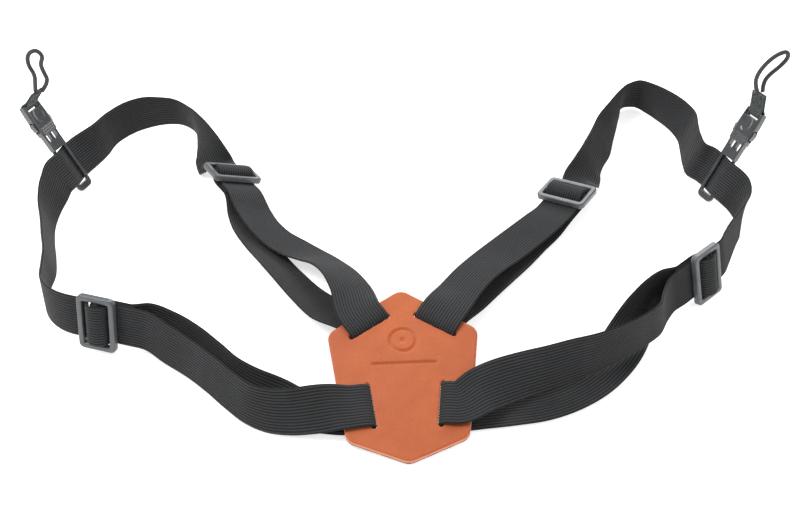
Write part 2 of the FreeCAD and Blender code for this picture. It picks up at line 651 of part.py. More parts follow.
def harness_nodes():
    nodes = {"yoke_leather": yoke_face(), "yoke_backing": yoke_backing()}
    for name in ADJUSTERS:
        nodes[name + "_anchor"] = anchor_strap(name)
        nodes[name + "_loop"] = loop_strap(name)
        nodes[name + "_adjuster"] = adjuster(name)
        nodes[name + "_weave"] = adjuster_weave(name)
        nodes[name + "_sewn_end"] = adjuster_sewn_end(name)
        nodes[name + "_bartack"] = adjuster_bartack(name)
    for side in SIDE:
        nodes[side + "_clip_slider"] = clip_slider(side)
        nodes[side + "_clip_weave"] = ribbon(local_ribbon(clip_axes(side), clip_crossing_path(side), 1))
        nodes[side + "_prong_front"] = clip_prong(side, 1)
        nodes[side + "_prong_back"] = clip_prong(side, -1)
        nodes[side + "_clip_socket"] = clip_socket(side)
        nodes[side + "_tab"] = tab(side)
        nodes[side + "_tab_stitching"] = tab_stitching(side)
        nodes[side + "_lanyard"] = lanyard(side)
    return nodes


def base_centre(nodes):
    """Middle of the footprint at table height, measured without the lanyard cords."""
    box = FreeCAD.BoundBox()
    for name, shape in nodes.items():
        if not name.endswith("_lanyard"):
            box.add(shape.optimalBoundingBox())
    print("size %.2f %.2f %.2f" % (box.XLength, box.YLength, box.ZLength))
    return Vector(box.Center.x, box.Center.y, box.ZMin)


os.makedirs("parts", exist_ok=True)
all_nodes = harness_nodes()
origin = base_centre(all_nodes)
print("origin moved by %.3f %.3f %.3f" % (-origin.x, -origin.y, -origin.z))
for node, shape in all_nodes.items():
    shape.translate(origin * -1)
    if not shape.isValid() or len(shape.Solids) != 1:
        print("check", node, shape.isValid(), len(shape.Solids))
    shape.exportStep("parts/" + node + ".step")
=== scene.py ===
import bpy
import bmesh
import math
import numpy as np
from mathutils import Matrix, Vector


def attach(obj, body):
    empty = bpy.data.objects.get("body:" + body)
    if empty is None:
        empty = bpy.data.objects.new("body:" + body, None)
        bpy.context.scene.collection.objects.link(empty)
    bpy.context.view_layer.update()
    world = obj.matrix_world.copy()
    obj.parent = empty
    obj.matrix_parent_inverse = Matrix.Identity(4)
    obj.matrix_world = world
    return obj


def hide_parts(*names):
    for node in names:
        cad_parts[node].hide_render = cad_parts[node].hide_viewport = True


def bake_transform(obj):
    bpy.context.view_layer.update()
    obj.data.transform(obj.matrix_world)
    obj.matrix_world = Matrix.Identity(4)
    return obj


# A binocular harness: leather yoke, elastic shoulder loops, four adjusters and two side-release clips.
# The CAD is in metres; the routes below are in millimetres, before the move to the footprint's middle.

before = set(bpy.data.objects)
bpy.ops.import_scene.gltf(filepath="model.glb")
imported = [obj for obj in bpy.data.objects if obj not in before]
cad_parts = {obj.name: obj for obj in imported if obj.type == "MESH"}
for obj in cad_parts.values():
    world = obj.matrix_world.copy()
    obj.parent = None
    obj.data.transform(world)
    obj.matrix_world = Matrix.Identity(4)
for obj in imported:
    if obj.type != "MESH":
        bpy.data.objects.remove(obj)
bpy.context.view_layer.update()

MM = 0.001
ORIGIN = Vector((5.901, 41.803, 0.132))

STRAP_WIDTH = 25.0
STRAP_THICKNESS = 1.5
RIB_COUNT = 15
RIB_HEIGHT = 0.38
RIB_WAVE = 0.1955
SECTION_STEP = 2.4

YOKE_CENTRE = Vector((2.6, -144.7, 9.4))
YOKE_TILT = 8.0
YOKE_TURN = 2.5
UPPER_SLOT_CENTRE = (17.9, 30.6)
UPPER_SLOT_SLOPE = 33.5
LOWER_SLOT_CENTRE = (18.6, -18.4)
LOWER_SLOT_SLOPE = 7.2
LEATHER_THICKNESS = 2.6
EMBLEM_DEPTH = 0.95

WEAVE_REACH = 14.5
LAYER_UNDER_FRAME = -3.1
REAR_LAYER_DEPTH = -6.7
SPAN_GAP = 0.4
SPAN_LEAD = 2.2

CLIP_TURN = -12.0
SOCKET_START = 24.5
SOCKET_END = 46.5
SOCKET_WIDTH = 15.0
SOCKET_THICKNESS = 6.4
END_BAR_PLACE = 45.1
END_BAR_RADIUS = 1.2
TAB_WIDTH = 11.0
TAB_LAYER = 1.2
TAB_LENGTH = 14.5
TAB_END_GAP = 1.2
TAB_SWING = {"left": 68.0, "right": 32.0}
BOX_STITCH_SIDE = 7.0
BOX_STITCH_MIDDLE = 9.6
LANYARD_DIAMETER = 2.6


def polar(lean, azimuth):
    """Unit vector that leans from vertical by lean degrees towards azimuth degrees."""
    lean, azimuth = math.radians(lean), math.radians(azimuth)
    flat = math.sin(lean)
    return Vector((flat * math.cos(azimuth), flat * math.sin(azimuth), math.cos(lean)))


def heading(azimuth, rise=0.0):
    """Unit vector along azimuth degrees that climbs by rise degrees."""
    return polar(90.0 - rise, azimuth)


class Axes:
    """A local frame: origin, x along, y across and z out of the face."""

    def __init__(self, origin, along, across):
        self.origin = origin
        self.along = along.normalized()
        square = across - self.along * across.dot(self.along)
        self.across = square.normalized()
        self.out = self.along.cross(self.across)

    def point(self, x, y, z):
        return self.origin + self.along * x + self.across * y + self.out * z


YOKE = Axes(
    YOKE_CENTRE,
    Vector((math.cos(math.radians(YOKE_TURN)), math.sin(math.radians(YOKE_TURN)), 0)),
    Vector((0, math.cos(math.radians(YOKE_TILT)), math.sin(math.radians(YOKE_TILT)))),
)

# Adjusters: x runs along the strap towards the yoke and z out of the face the strap crosses.
ADJUSTERS = {
    "left_upper": Axes(Vector((-108.6, 16.6, 15.4)), heading(-57.5, 8.0), polar(116.0, 27.0)),
    "left_lower": Axes(Vector((-166.0, -115.0, 17.2)), heading(-15.0), polar(19.0, 75.0)),
    "right_upper": Axes(Vector((107.0, 2.0, 11.0)), heading(-125.0), polar(79.0, -35.0)),
    "right_lower": Axes(Vector((177.0, -77.0, 17.2)), heading(-140.0), polar(160.0, -50.0)),
}

# Clips: the strap's run through the clip, and the way the clip points.
CLIP_RUNS = {
    "left": Axes(Vector((-215.0, 23.0, 16.8)), heading(-120.0), polar(30.0, 152.0)),
    "right": Axes(Vector((205.0, 12.5, 17.0)), heading(-55.0), polar(28.0, 32.0)),
}

# A strap station is (x, y, height of its lowest edge, lean of its width, azimuth of the lean).
STRAP_ROUTES = {
    "left_upper_front": [
        (-92, -15, 5.0, 64, -152), (-84, -28, 4.0, 66, -138), (-75, -37, 2.5, 70, -130),
        (-65, -44, 2.0, 72, -130), (-54, -52, 2.0, 66, -128), (-44, -61, 4.0, 60, -130),
        (-35, -73, 8.0, 64, -136), (-28, -88, 12.6, 74, -142),
    ],
    "left_upper_rear": [
        (-97, -17, 1.0, 64, -150), (-92, -31, 0.6, 62, -142), (-84, -44, 0.6, 62, -138),
        (-75, -57, 0.6, 60, -140), (-65, -70, 0.6, 62, -142), (-54, -83, 1.0, 68, -144),
        (-42, -95, 4.0, 80, -146),
    ],
    "left_lower_front": [
        (-139, -119, 3.6, 20, 72), (-126, -127, 1.4, 22, 56), (-113, -136, 0.6, 20, 51),
        (-101, -146, 0.6, 20, 47), (-89, -157, 0.6, 21, 49), (-78, -166, 0.8, 22, 60),
        (-67, -170, 1.2, 30, 75), (-56, -171, 2.4, 38, 86), (-45, -170, 4.6, 50, 94),
        (-35, -168, 7.2, 68, 97),
    ],
    "left_lower_rear": [
        (-138, -112, 2.2, 20, 75), (-125, -117, 1.0, 22, 60), (-111, -126, 0.6, 20, 52),
        (-98, -138, 0.6, 22, 50), (-87, -149, 0.6, 26, 55), (-75, -157, 0.6, 40, 70),
        (-63, -161, 0.6, 62, 84), (-52, -163, 0.6, 80, 92), (-42, -164, 0.8, 86, 97),
    ],
    "right_upper_front": [
        (88, -23, 5.6, 84, -42), (76, -35, 5.6, 86, -43), (64, -47, 5.6, 86, -43),
        (53, -59, 6.5, 82, -43), (43, -72, 8.5, 80, -42), (34, -87, 11.5, 82, -38),
    ],
    "right_upper_rear": [
        (91, -21, 0.8, 87, -42), (80, -34, 0.6, 88, -43), (69, -48, 0.6, 88, -43),
        (58, -61, 0.6, 87, -43), (48, -73, 0.8, 86, -42), (39, -85, 2.6, 86, -39),
    ],
    "right_lower_front": [
        (155, -91, 3.0, 18, 135), (149, -100, 2.4, 14, 150), (144, -110, 3.0, 10, 150),
        (134, -119, 4.0, 9, 130), (120, -128, 4.4, 12, 125), (106, -135, 4.4, 18, 118),
        (92, -140, 4.6, 26, 110), (78, -145, 4.8, 32, 108), (65, -149, 5.2, 40, 104),
        (53, -153, 6.0, 52, 98), (43, -157, 7.6, 68, 92),
    ],
    "right_lower_rear": [
        (151, -85, 2.0, 18, 132), (141, -92, 0.8, 20, 140), (135, -101, 0.6, 38, 150),
        (128, -113, 0.6, 66, 150), (117, -128, 0.6, 84, 140), (104, -141, 0.6, 86, 126),
        (90, -150, 0.6, 86, 112), (75, -156, 0.6, 86, 100), (59, -159, 0.6, 86, 92),
        (45, -161, 0.8, 86, 86),
    ],
    "left_upper_loop": [
        (-124, 38, 1.0, 82, 20), (-131, 50, 0.6, 42, 8), (-138, 65, 0.6, 12, 10),
        (-146, 79, 0.6, 8, -140), (-157, 87, 0.6, 8, -113), (-168, 88, 0.6, 4, -100),
        (-179, 86, 0.6, 5, 120), (-189, 80, 0.6, 8, 142), (-198, 68, 1.0, 8, 155),
        (-203, 52, 2.6, 16, 155),
    ],
    "left_lower_loop": [
        (-218.8, 0, 6.6, 26, 152), (-219.8, -11, 3.9, 18, 158),
        (-219, -23, 1.6, 10, 168), (-215.5, -36, 0.7, 5, 178), (-211, -50, 0.6, 5, -164),
        (-207, -64, 0.6, 2, 180), (-206, -76, 0.6, 4, 3), (-204, -87, 1.0, 6, 19),
        (-198, -97, 2.0, 11, 42), (-190, -104, 3.4, 16, 60),
    ],
    "right_upper_loop": [
        (121, 22, 2.0, 66, 150), (126, 32, 0.8, 42, 155), (131, 43, 0.6, 36, 157),
        (137, 55, 0.6, 38, 160), (142, 68, 0.6, 32, 162), (149, 82, 0.6, 18, 162),
        (156, 96, 0.6, 5, 155), (163, 107, 0.6, 9, -60), (171, 109, 0.6, 5, -100),
        (179, 103, 0.6, 3, 26), (187, 94, 0.6, 10, 30), (194, 83, 0.8, 15, 17),
        (198, 70, 1.2, 19, 8), (196.5, 55, 2.0, 18, 10), (195, 41, 3.0, 20, 20),
        (196, 30, 3.6, 24, 28),
    ],
    "right_lower_loop": [
        (212, -8, 6.2, 22, 42), (213, -17.5, 3.0, 14, 62), (210.5, -27, 1.2, 10, 115),
        (205, -36, 0.8, 12, 150), (199.5, -45, 1.4, 16, 156), (195, -53, 2.6, 18, 148),
    ],
}

# Lanyard loops as (right, up, back) from the end of the tab, round and back to it.
LANYARD_ROUTES = {
    "left": [
        (-1.6, 0.0, 0.0), (0.2, 6.5, -0.8), (1.8, 13.0, -1.2), (-0.6, 19.5, -0.8), (0.8, 26.5, 0.0),
        (6.6, 29.5, 0.4), (9.6, 24.5, 0.8), (6.0, 18.5, 1.4), (6.6, 12.5, 1.6), (8.0, 6.0, 1.0),
        (2.4, 0.0, 0.0),
    ],
    "right": [
        (-1.7, 0.0, 0.0), (-4.6, 5.5, -0.4), (-5.2, 12.5, -0.8), (-2.4, 20.0, -0.8), (2.6, 26.0, -0.4),
        (8.4, 28.5, 0.0), (10.8, 23.8, 0.4), (7.4, 17.0, 0.8), (2.4, 11.0, 0.8), (0.6, 5.5, 0.4),
        (1.7, 0.0, 0.0),
    ],
}


ANCHOR_SENSE = {"left_upper": -1, "left_lower": 1, "right_upper": 1, "right_lower": -1}
LOOP_SENSE = {"left_upper": 1, "left_lower": 1, "right_upper": -1, "right_lower": -1}
SLOT_SENSE = {"left_upper": 1, "left_lower": -1, "right_upper": -1, "right_lower": 1}
SIDE = {"left": -1, "right": 1}

# The strap's turn through a yoke slot, as (distance out from the slot, height over the leather).
SLOT_TURN = [
    (8.0, 3.6), (3.4, 3.4), (1.1, 2.7), (-0.4, 1.3), (-0.65, 0.0),
    (-0.4, -1.3), (1.1, -2.7), (3.4, -3.5), (8.0, -3.9),
]

WEAVE_TOP = (0.0, 4.4)

# The strap's run through a clip, as (along the clip's width, depth towards the inner face).
CLIP_CROSSING_HALF = [(12.0, 2.6), (8.4, 2.4), (5.4, 2.1), (2.4, 1.1)]


def resting_station(x, y, lift, lean, azimuth):
    """Centre of the strap and the direction of its width, with its lowest edge at height lift."""
    across = polar(lean, azimuth)
    tilt = math.radians(lean)
    height = lift + STRAP_WIDTH / 2 * abs(math.cos(tilt)) + STRAP_THICKNESS / 2 * math.sin(tilt)
    return Vector((x, y, height)), across


def routed(name):
    return [resting_station(*station) for station in STRAP_ROUTES[name]]


def slot_axes(side, level):
    """Frame of a yoke slot: x away from the yoke's middle, y along the slot, z out of the leather."""
    if level == "upper":
        centre, lean = UPPER_SLOT_CENTRE, side * (90.0 - UPPER_SLOT_SLOPE)
    else:
        centre, lean = LOWER_SLOT_CENTRE, side * -LOWER_SLOT_SLOPE
    slope = math.radians(90.0 + lean)
    y_axis = (YOKE.along * math.cos(slope) + YOKE.across * math.sin(slope)) * side
    return Axes(YOKE.point(side * centre[0], centre[1], 0), y_axis.cross(YOKE.out), y_axis)


def local_ribbon(axes, path, sense):
    """Strap stations along a path drawn in a local frame's x and z."""
    across = axes.across * sense
    return [(axes.point(x, 0, z), across) for x, z in path]


def clip_axes(side):
    """Frame of a clip: x across its width, y towards its free end, z out of one face."""
    run = CLIP_RUNS[side]
    inner = run.out * SIDE[side]
    turn = math.radians(CLIP_TURN)
    return Axes(run.origin, run.along * math.cos(turn) - inner * math.sin(turn), run.across)


def tab_axes(side):
    """Frame of a tab: x along the end bar, y towards the tab's free end, z out of its inner face."""
    clip = clip_axes(side)
    inner = clip.out * SIDE[side]
    swing = math.radians(TAB_SWING[side])
    along = clip.along * SIDE[side]
    away = clip.across * math.cos(swing) + inner * math.sin(swing)
    return Axes(clip.point(0, END_BAR_PLACE, 0), along, away)




# ---------------------------------------------------------------- from millimetres to the frame

def placed(point):
    """A point of the working layout, in metres in the frame."""
    return (point + ORIGIN) * MM


def new_object(name, mesh):
    made = bpy.data.objects.new(name, mesh)
    bpy.context.scene.collection.objects.link(made)
    return made


# ---------------------------------------------------------------- materials

def material(name, colour, roughness, coat=0.0, sheen=0.0, specular=0.5):
    made = bpy.data.materials.new(name)
    made.use_nodes = True
    shader = made.node_tree.nodes["Principled BSDF"]
    shader.inputs["Base Color"].default_value = (*colour, 1)
    shader.inputs["Roughness"].default_value = roughness
    shader.inputs["Coat Weight"].default_value = coat
    shader.inputs["Coat Roughness"].default_value = 0.12
    shader.inputs["Sheen Weight"].default_value = sheen
    shader.inputs["Sheen Roughness"].default_value = 0.4
    shader.inputs["Specular IOR Level"].default_value = specular
    return made, made.node_tree, shader


def node(tree, kind, **inputs):
    made = tree.nodes.new(kind)
    for key, value in inputs.items():
        made.inputs[key.replace("_", " ")].default_value = value
    return made


def coordinates(tree, source):
    """Texture coordinates in millimetres, so that every texture scale is a count per millimetre."""
    where = tree.nodes.new("ShaderNodeTexCoord")
    scaled = tree.nodes.new("ShaderNodeVectorMath")
    scaled.operation = "SCALE"
    scaled.inputs["Scale"].default_value = 1 / MM
    tree.links.new(where.outputs[source], scaled.inputs[0])
    return scaled.outputs["Vector"]


def noise(tree, where, scale, detail=3.0, roughness=0.55):
    made = node(tree, "ShaderNodeTexNoise", Scale=scale, Detail=detail, Roughness=roughness)
    tree.links.new(where, made.inputs["Vector"])
    return made.outputs["Fac"]


def waves(tree, where, direction, scale):
    made = node(tree, "ShaderNodeTexWave", Scale=scale, Distortion=0.0)
    made.bands_direction = direction
    tree.links.new(where, made.inputs["Vector"])
    return made.outputs["Fac"]


def ramp(tree, value, stops):
    """Colour or grey level by value; stops are (position, colour)."""
    made = tree.nodes.new("ShaderNodeValToRGB")
    elements = made.color_ramp.elements
    while len(elements) < len(stops):
        elements.new(0.5)
    for element, (position, colour) in zip(elements, stops):
        element.position = position
        element.color = (*colour, 1)
    tree.links.new(value, made.inputs["Fac"])
    return made.outputs["Color"]


def mixed(tree, factor, first, second, mode="MIX"):
    made = tree.nodes.new("ShaderNodeMix")
    made.data_type = "RGBA"
    made.blend_type = mode
    if isinstance(factor, float):
        made.inputs["Factor"].default_value = factor
    else:
        tree.links.new(factor, made.inputs["Factor"])
    for socket, value in ((6, first), (7, second)):
        tree.links.new(value, made.inputs[socket])
    return made.outputs[2]


def added(tree, first, second, weight):
    """first plus weight times second."""
    made = tree.nodes.new("ShaderNodeMath")
    made.operation = "MULTIPLY_ADD"
    tree.links.new(second, made.inputs[0])
    made.inputs[1].default_value = weight
    tree.links.new(first, made.inputs[2])
    return made.outputs["Value"]


def bump(tree, shader, height, distance, strength=1.0):
    """Raises the surface by up to distance, in metres."""
    made = node(tree, "ShaderNodeBump", Strength=strength, Distance=distance)
    tree.links.new(height, made.inputs["Height"])
    tree.links.new(made.outputs["Normal"], shader.inputs["Normal"])


def elastic_material():
    """Charcoal knitted elastic: fine picks across the ribs, a slight speckle and painted shade in the grooves
    between the ribs.
    """
    made, tree, shader = material("elastic", (0.03, 0.03, 0.032), 0.85, sheen=0.12, specular=0.3)
    where = coordinates(tree, "UV")
    speckle = noise(tree, where, 1.3, 4.0, 0.7)
    patches = noise(tree, where, 0.05, 2.0)
    picks = waves(tree, where, "Y", 0.36)
    fine = ramp(tree, speckle, [(0.3, (0.020, 0.021, 0.022)), (0.7, (0.064, 0.066, 0.069))])
    broad = ramp(tree, patches, [(0.3, (0.030, 0.031, 0.033)), (0.7, (0.048, 0.049, 0.052))])
    # Painted shade: the colour is darkened in bands across the width, in the grooves between the ribs.
    ribs = waves(tree, where, "X", RIB_WAVE)
    shade = ramp(tree, ribs, [(0.15, (1.0, 1.0, 1.0)), (0.95, (0.3, 0.3, 0.3))])
    cloth = mixed(tree, 0.5, fine, broad)
    tree.links.new(mixed(tree, 1.0, cloth, shade, "MULTIPLY"), shader.inputs["Base Color"])
    bump(tree, shader, added(tree, speckle, picks, 0.35), 0.00014)
    return made


def leather_material(name, dark, light, grain):
    """Smooth tanned leather with a fine grain, soft mottling and a painted highlight on the edges, where the faces
    turn away from the top.
    """
    made, tree, shader = material(name, light, 0.5, specular=0.4)
    where = coordinates(tree, "Object")
    mottle = noise(tree, where, 0.045, 4.0, 0.6)
    pores = noise(tree, where, 1.6, 5.0, 0.65)
    cells = node(tree, "ShaderNodeTexVoronoi", Scale=1.1)
    tree.links.new(where, cells.inputs["Vector"])
    body = ramp(tree, mottle, [(0.3, dark), (0.7, light)])
    fleck = ramp(tree, pores, [(0.25, tuple(0.8 * c for c in dark)), (0.6, light)])
    colour = mixed(tree, 0.35, body, fleck)
    # Painted highlight: faces that turn away from the top are mixed towards a paler colour.
    edge = tree.nodes.new("ShaderNodeAttribute")
    edge.attribute_name = "edge"
    edge_highlight = ramp(tree, edge.outputs["Fac"], [(0.12, (0, 0, 0)), (0.55, (0.8, 0.8, 0.8))])
    pale = tree.nodes.new("ShaderNodeRGB")
    pale.outputs[0].default_value = (*(min(1.0, 1.3 * c + 0.12) for c in light), 1)
    tree.links.new(mixed(tree, edge_highlight, colour, pale.outputs[0]), shader.inputs["Base Color"])
    rough = ramp(tree, mottle, [(0.3, (0.42, 0.42, 0.42)), (0.7, (0.58, 0.58, 0.58))])
    tree.links.new(rough, shader.inputs["Roughness"])
    bump(tree, shader, added(tree, pores, cells.outputs["Distance"], 0.6), 0.00012 * grain)
    return made


def plastic_material(name, dark, light, roughness, coat):
    """Moulded plastic with a faint orange-peel texture and slight flow marks."""
    made, tree, shader = material(name, light, roughness, coat=coat, specular=0.6)
    where = coordinates(tree, "Object")
    flow = noise(tree, where, 0.12, 3.0)
    peel = noise(tree, where, 2.4, 2.0)
    tree.links.new(ramp(tree, flow, [(0.3, dark), (0.7, light)]), shader.inputs["Base Color"])
    low, high = roughness * 0.8, roughness * 1.25
    tree.links.new(ramp(tree, peel, [(0.3, (low,) * 3), (0.7, (high,) * 3)]), shader.inputs["Roughness"])
    bump(tree, shader, peel, 0.00004)
    return made


def woven_material(name, dark, light, scale):
    """Tight plain-woven webbing or braid."""
    made, tree, shader = material(name, light, 0.75, sheen=0.3, specular=0.35)
    where = coordinates(tree, "Object")
    across = waves(tree, where, "DIAGONAL", scale)
    fibre = noise(tree, where, 2.2, 4.0, 0.7)
    weave = added(tree, across, fibre, 0.7)
    tree.links.new(ramp(tree, weave, [(0.35, dark), (1.0, light)]), shader.inputs["Base Color"])
    bump(tree, shader, weave, 0.0002)
    return made


# ---------------------------------------------------------------- straps

def smooth_stations(stations, step):
    """Even stations along a smooth curve through the given ones, with the distance to each."""
    centres = np.array([centre for centre, _ in stations])
    widths = np.array([width for _, width in stations])
    knots = np.concatenate([[0], np.cumsum(np.linalg.norm(np.diff(centres, axis=0), axis=1))])
    both = np.hstack([centres, widths])
    slopes = np.gradient(both, knots, axis=0)
    count = max(4, int(knots[-1] / step))
    places = np.unique(np.concatenate([np.linspace(0, knots[-1], count), knots]))
    keep = np.concatenate([[True], np.diff(places) > 0.12])
    places = places[keep]
    index = np.clip(np.searchsorted(knots, places, side="right") - 1, 0, len(knots) - 2)
    length = (knots[index + 1] - knots[index])[:, None]
    t = ((places - knots[index])[:, None]) / length
    value = (
        (2 * t ** 3 - 3 * t ** 2 + 1) * both[index] + (t ** 3 - 2 * t ** 2 + t) * length * slopes[index]
        + (3 * t ** 2 - 2 * t ** 3) * both[index + 1] + (t ** 3 - t ** 2) * length * slopes[index + 1]
    )
    return value[:, :3], value[:, 3:], places


def strap_section(width, thickness, ribs, rib_height):
    """Closed outline (across, out) of ribbed elastic with rounded selvedges."""
    points = []
    edge = thickness / 2
    for face in (1, -1):
        row = []
        for step in range(3 * ribs + 1):
            across = -width / 2 + edge * 0.6 + (width - edge * 1.2) * step / (3 * ribs)
            height = thickness / 2 - (rib_height if step % 3 == 0 else 0.0)
            row.append((across * face, height * face))
        points += row
        points.append(((width / 2) * face, 0.0))
    return points


def strap_rows(stations):
    """Even rows along a strap: middle, direction of the width, direction of the face, distance."""
    centres, widths, places = smooth_stations(stations, SECTION_STEP)
    tangents = np.gradient(centres, places, axis=0)
    tangents /= np.linalg.norm(tangents, axis=1)[:, None]
    sides = widths - tangents * np.sum(widths * tangents, axis=1)[:, None]
    sides /= np.linalg.norm(sides, axis=1)[:, None]
    return centres, sides, np.cross(tangents, sides), places


def strap_mesh(
    name, rows, width=STRAP_WIDTH, thickness=STRAP_THICKNESS, ribs=RIB_COUNT, rib_height=RIB_HEIGHT,
):
    """A ribbed strap through its rows, closed at both ends, with its width and length as UVs in metres."""
    centres, sides, normals, places = rows
    section = np.array(strap_section(width, thickness, ribs, rib_height))
    around = len(section)
    vertices = (
        centres[:, None, :] + sides[:, None, :] * section[None, :, 0:1]
        + normals[:, None, :] * section[None, :, 1:2]
    ).reshape(-1, 3)
    vertices = (vertices + np.array(ORIGIN)) * MM
    faces = []
    for row in range(len(centres) - 1):
        for column in range(around):
            ahead = (column + 1) % around
            faces.append((
                row * around + column, row * around + ahead,
                (row + 1) * around + ahead, (row + 1) * around + column,
            ))
    last = (len(centres) - 1) * around
    faces.append(tuple(range(around))[::-1])
    faces.append(tuple(last + column for column in range(around)))
    mesh = bpy.data.meshes.new(name)
    mesh.from_pydata(vertices.tolist(), [], faces)
    layer = mesh.uv_layers.new(name="strap")
    corner_vertices = np.empty(len(mesh.loops), dtype=int)
    mesh.loops.foreach_get("vertex_index", corner_vertices)
    columns, row_numbers = corner_vertices % around, corner_vertices // around
    uv = np.stack([section[columns, 0], places[row_numbers]], axis=1) * MM
    layer.data.foreach_set("uv", uv.ravel())
    check = bmesh.new()
    check.from_mesh(mesh)
    bmesh.ops.recalc_face_normals(check, faces=check.faces)
    check.to_mesh(mesh)
    check.free()
    mesh.shade_smooth()
    mesh.set_sharp_from_angle(angle=math.radians(75))
    return mesh, float(places[-1] - places[0]) * MM


def strap_piece(name, rows, finish, end, replaced):
    mesh, length = strap_mesh(name, rows)
    made = new_object(name, mesh)
    mesh.materials.append(finish)
    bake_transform(made)
    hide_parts(*replaced)
    return made


# The strap over an adjuster's centre bar, as (along, height), from the yoke's side to the bar.
WEAVE_REST = [(11.6, -3.15), (8.6, -3.15), (6.6, -2.4), (5.4, 0.4), (4.2, 2.9), (2.2, 4.1)]
# The sewn end round the centre bar, and its cut tail.
SEWN_TURN = [
    (8.0, -4.85), (4.6, -3.9), (2.95, -1.8), (2.7, 0.5), (1.5, 2.2), (0.0, 2.6),
    (-1.5, 2.2), (-2.7, 0.5), (-2.75, -1.6), (-1.6, -4.0), (1.2, -6.0), (5.0, -6.7), (9.5, -6.7),
]
SEWN_TAIL = [(20.0, -4.9), (14.5, -4.9)]


def anchor_piece(name, finish):
    """One strap from its sewn end round the bar, to the yoke slot and back over the bar."""
    side, level = name.split("_")
    adjuster = ADJUSTERS[name]
    sense = ANCHOR_SENSE[name]
    lead = WEAVE_REACH + SPAN_GAP + SPAN_LEAD
    stations = local_ribbon(adjuster, SEWN_TAIL + SEWN_TURN, sense)
    stations += local_ribbon(adjuster, [(WEAVE_REACH, REAR_LAYER_DEPTH), (lead, REAR_LAYER_DEPTH)], sense)
    stations += routed(name + "_rear")
    slot = slot_axes(SIDE[side], level)
    stations += local_ribbon(slot, SLOT_TURN[::-1], SLOT_SENSE[name])
    stations += reversed(routed(name + "_front"))
    stations += local_ribbon(adjuster, [(lead, LAYER_UNDER_FRAME), (WEAVE_REACH, LAYER_UNDER_FRAME)], sense)
    over = WEAVE_REST + [WEAVE_TOP] + [(-x, z) for x, z in WEAVE_REST[::-1]]
    stations += local_ribbon(adjuster, over + [(-WEAVE_REACH - SPAN_GAP, LAYER_UNDER_FRAME)], sense)
    return strap_piece(
        name + "_strap", strap_rows(stations), finish,
        adjuster.point(WEAVE_REACH, 0, -5.0),
        [name + "_anchor", name + "_weave", name + "_sewn_end"],
    )


def loop_pieces(side, finish):
    """A shoulder loop from adjuster to adjuster: two pieces at the adjusters and two through the clip."""
    clip = clip_axes(side)
    reach, depth = CLIP_CROSSING_HALF[0]
    made = []
    for level, hand in (("upper", -1), ("lower", 1)):
        name = side + "_" + level
        adjuster = ADJUSTERS[name]
        lead = WEAVE_REACH + SPAN_GAP + SPAN_LEAD
        path = [(-WEAVE_REACH - SPAN_GAP, LAYER_UNDER_FRAME), (-lead, LAYER_UNDER_FRAME)]
        leaving = local_ribbon(adjuster, path, LOOP_SENSE[name])
        route = routed(name + "_loop")
        if hand > 0:
            route = route[::-1]
        crossing = [(hand * x, hand * z * SIDE[side]) for x, z in CLIP_CROSSING_HALF]
        outer = hand * (reach + SPAN_GAP + SPAN_LEAD)
        through = local_ribbon(clip, [(outer, hand * depth * SIDE[side])] + crossing + [(0.0, 0.0)], 1)
        rows = strap_rows(leaving + route + through)
        cut = len(rows[0]) // 2
        made.append(strap_piece(
            name + "_loop_strap", [part[:cut + 1] for part in rows], finish,
            adjuster.point(-WEAVE_REACH, 0, LAYER_UNDER_FRAME), [name + "_loop"],
        ))
        made.append(strap_piece(
            name + "_clip_strap", [part[cut:] for part in rows], finish,
            clip.point(hand * reach, 0, 0), [name + "_loop", side + "_clip_weave"],
        ))
    return made


# ---------------------------------------------------------------- yoke

def in_yoke(point):
    """Place of a frame point in the yoke's own plane, in millimetres."""
    offset = point / MM - ORIGIN - YOKE.origin
    return offset.dot(YOKE.along), offset.dot(YOKE.across), offset.dot(YOKE.out)


def dent(value, width):
    """1 in the middle of a groove and 0 outside its half width, with soft sides."""
    t = min(1.0, abs(value) / width)
    return (1 - t * t) ** 2


def emblem_depth(x, y):
    """A plain ring over a short bar, pressed into the leather."""
    ring = dent(math.hypot(x, y - 21.0) - 7.0, 1.3)
    dot = dent(math.hypot(x, y - 21.0), 2.4)
    bar = dent(y - 6.5, 1.2) * (1 if abs(x) < 17 else dent(abs(x) - 17, 1.4))
    return max(ring, dot, bar)


def even_copy(name, cad_node, voxel, soften):
    """A CAD node rebuilt as one even surface with softened edges."""
    made = new_object(name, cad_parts[cad_node].data.copy())
    remesh = made.modifiers.new("even", "REMESH")
    remesh.mode = "VOXEL"
    remesh.voxel_size = voxel * MM
    smooth = made.modifiers.new("soft", "SMOOTH")
    smooth.factor = 0.5
    smooth.iterations = soften
    bpy.context.view_layer.update()
    graph = bpy.context.evaluated_depsgraph_get()
    mesh = bpy.data.meshes.new_from_object(made.evaluated_get(graph))
    made.modifiers.clear()
    made.data = mesh
    mesh.name = name
    mesh.shade_smooth()
    mesh.materials.clear()
    return made


def leather_piece(name, cad_node, finish, voxel, pressed, soften):
    """The plate with softened edges, a slight wave and the pressed mark."""
    made = even_copy(name, cad_node, voxel, soften)
    # Edge mask: how far each face turns from the top; the leather finish paints a highlight from it.
    turned_away = [1 - abs(vertex.normal.dot(YOKE.out)) for vertex in made.data.vertices]
    edge = made.data.attributes.new("edge", "FLOAT", "POINT")
    edge.data.foreach_set("value", turned_away)
    for vertex in made.data.vertices:
        x, y, z = in_yoke(vertex.co)
        lift = 0.18 * math.sin(x * 0.11 + 0.6) * math.cos(y * 0.08)
        lift += 0.06 * math.sin(x * 0.43) * math.sin(y * 0.37)
        if pressed and z > LEATHER_THICKNESS / 4:
            lift -= EMBLEM_DEPTH * emblem_depth(x, y)
        vertex.co += YOKE.out * (lift * MM)
    made.data.materials.append(finish)
    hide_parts(cad_node)
    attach(made, "harness")
    return made


# ---------------------------------------------------------------- clips

